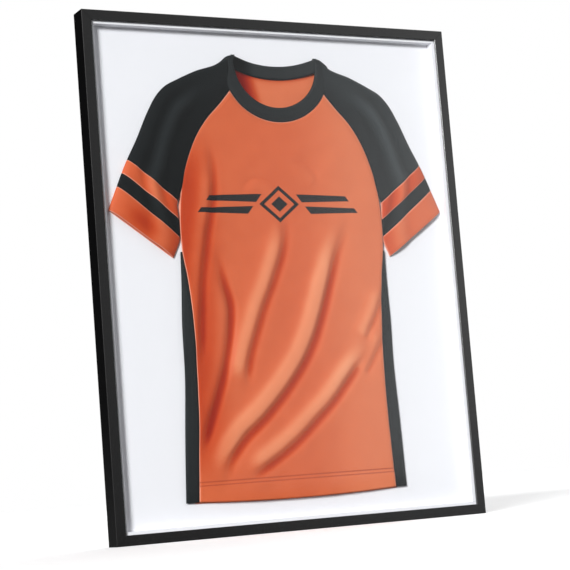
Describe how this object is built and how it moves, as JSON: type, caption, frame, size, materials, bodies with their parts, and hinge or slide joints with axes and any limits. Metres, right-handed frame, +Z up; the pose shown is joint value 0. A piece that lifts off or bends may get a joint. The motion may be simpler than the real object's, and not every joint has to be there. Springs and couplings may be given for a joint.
{
  "type": "jersey display frame",
  "caption": "Slim black box frame with clear glazing, white spacers and backing board, holding a two-colour short-sleeved raglan jersey on an inner former; back held by turn-buttons.",
  "frame": {"origin": "centre of the bounding box footprint, on the surface the frame stands on", "axes": "+Z up along the frame height, +X to the right seen from the front, the glazed front faces -Y"},
  "size_m": [0.656, 0.037, 0.82],
  "materials": {
    "black_moulding": "matte black foil-wrapped fibreboard moulding, square edges",
    "clear_acrylic": "clear polished acrylic sheet",
    "white_card": "white paper-faced foam board",
    "hardboard": "brown hardboard, smooth",
    "zinc_steel": "bright zinc plate",
    "black_rubber": "soft matte rubber",
    "orange_jersey": "fine knitted polyester, orange",
    "charcoal_jersey": "fine knitted polyester, dark charcoal"
  },
  "bodies": {
    "display_frame": {"back_panel": "hardboard", "button_screw_bottom_1": "zinc_steel", "button_screw_bottom_2": "zinc_steel", "button_screw_left_1": "zinc_steel", "button_screw_left_2": "zinc_steel", "button_screw_right_1": "zinc_steel", "button_screw_right_2": "zinc_steel", "button_screw_top_1": "zinc_steel", "button_screw_top_2": "zinc_steel", "collar_back": "charcoal_jersey", "collar_front": "charcoal_jersey", "corner_nail_lower_left": "zinc_steel", "corner_nail_lower_right": "zinc_steel", "corner_nail_upper_left": "zinc_steel", "corner_nail_upper_right": "zinc_steel", "frame_rail_bottom": "black_moulding", "frame_rail_top": "black_moulding", "frame_stile_left": "black_moulding", "frame_stile_right": "black_moulding", "glazing": "clear_acrylic", "hanger_tack_1_1": "zinc_steel", "hanger_tack_1_2": "zinc_steel", "hanger_tack_2_1": "zinc_steel", "hanger_tack_2_2": "zinc_steel", "jersey_back": "orange_jersey", "jersey_former": "white_card", "jersey_front": "orange_jersey", "jersey_pin_1": "zinc_steel", "jersey_pin_2": "zinc_steel", "jersey_pin_3": "zinc_steel", "jersey_pin_4": "zinc_steel", "mount_board": "white_card", "sawtooth_hanger_1": "zinc_steel", "sawtooth_hanger_2": "zinc_steel", "side_panel_left": "charcoal_jersey", "side_panel_right": "charcoal_jersey", "sleeve_band_left": "charcoal_jersey", "sleeve_band_right": "charcoal_jersey", "sleeve_cuff_left": "orange_jersey", "sleeve_cuff_right": "orange_jersey", "sleeve_left": "charcoal_jersey", "sleeve_right": "charcoal_jersey", "sleeve_stripe_left": "orange_jersey", "sleeve_stripe_right": "orange_jersey", "spacer_bottom": "white_card", "spacer_left": "white_card", "spacer_right": "white_card", "spacer_top": "white_card", "wall_pad_1": "black_rubber", "wall_pad_2": "black_rubber"},
    "turn_button_bottom_1": {"turn_button_bottom_1": "zinc_steel"},
    "turn_button_bottom_2": {"turn_button_bottom_2": "zinc_steel"},
    "turn_button_left_1": {"turn_button_left_1": "zinc_steel"},
    "turn_button_left_2": {"turn_button_left_2": "zinc_steel"},
    "turn_button_right_1": {"turn_button_right_1": "zinc_steel"},
    "turn_button_right_2": {"turn_button_right_2": "zinc_steel"},
    "turn_button_top_1": {"turn_button_top_1": "zinc_steel"},
    "turn_button_top_2": {"turn_button_top_2": "zinc_steel"}
  },
  "joints": [
    {"name": "turn_button_bottom_1_turn", "type": "hinge", "parent": "display_frame", "child": "turn_button_bottom_1", "pos_m": [0.128, 0.0154, 0.0055], "axis": [0, 1, 0], "range_deg": [-90, 90]},
    {"name": "turn_button_bottom_2_turn", "type": "hinge", "parent": "display_frame", "child": "turn_button_bottom_2", "pos_m": [-0.128, 0.0154, 0.0055], "axis": [0, 1, 0], "range_deg": [-90, 90]},
    {"name": "turn_button_left_1_turn", "type": "hinge", "parent": "display_frame", "child": "turn_button_left_1", "pos_m": [-0.3225, 0.0154, 0.2], "axis": [0, 1, 0], "range_deg": [-90, 90]},
    {"name": "turn_button_left_2_turn", "type": "hinge", "parent": "display_frame", "child": "turn_button_left_2", "pos_m": [-0.3225, 0.0154, 0.62], "axis": [0, 1, 0], "range_deg": [-90, 90]},
    {"name": "turn_button_right_1_turn", "type": "hinge", "parent": "display_frame", "child": "turn_button_right_1", "pos_m": [0.3225, 0.0154, 0.62], "axis": [0, 1, 0], "range_deg": [-90, 90]},
    {"name": "turn_button_right_2_turn", "type": "hinge", "parent": "display_frame", "child": "turn_button_right_2", "pos_m": [0.3225, 0.0154, 0.2], "axis": [0, 1, 0], "range_deg": [-90, 90]},
    {"name": "turn_button_top_1_turn", "type": "hinge", "parent": "display_frame", "child": "turn_button_top_1", "pos_m": [-0.128, 0.0154, 0.8145], "axis": [0, 1, 0], "range_deg": [-90, 90]},
    {"name": "turn_button_top_2_turn", "type": "hinge", "parent": "display_frame", "child": "turn_button_top_2", "pos_m": [0.128, 0.0154, 0.8145], "axis": [0, 1, 0], "range_deg": [-90, 90]}
  ]
}
